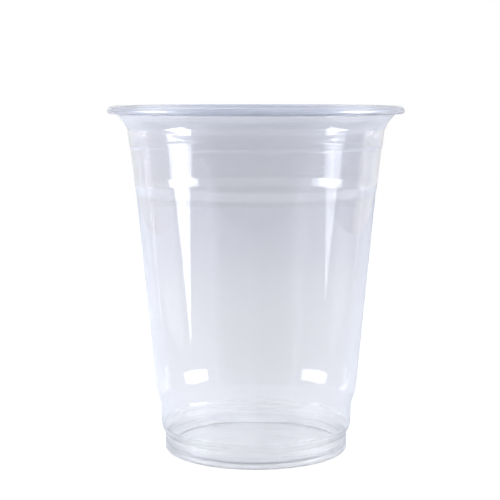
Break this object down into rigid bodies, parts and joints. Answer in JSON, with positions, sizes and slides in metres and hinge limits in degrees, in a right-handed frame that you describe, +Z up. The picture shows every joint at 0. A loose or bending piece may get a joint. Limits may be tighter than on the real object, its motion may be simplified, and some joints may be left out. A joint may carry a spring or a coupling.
{
  "type": "plastic disposable cup",
  "caption": "Clear thin-walled drinking cup: tapered wall with a fill band, flared neck with a stacking collar, rolled rim, stacking belt and low foot ring.",
  "frame": {"origin": "centre of the foot ring, on the surface that the cup stands on", "axes": "+Z up along the cup's axis, towards the open mouth; the cup is round, so +X and +Y are any two square directions"},
  "size_m": [0.095, 0.095, 0.1115],
  "materials": {
    "clear_plastic": "clear, slightly milky polypropylene with a smooth glossy surface"
  },
  "bodies": {
    "root": {"cup": "clear_plastic"}
  },
  "joints": []
}
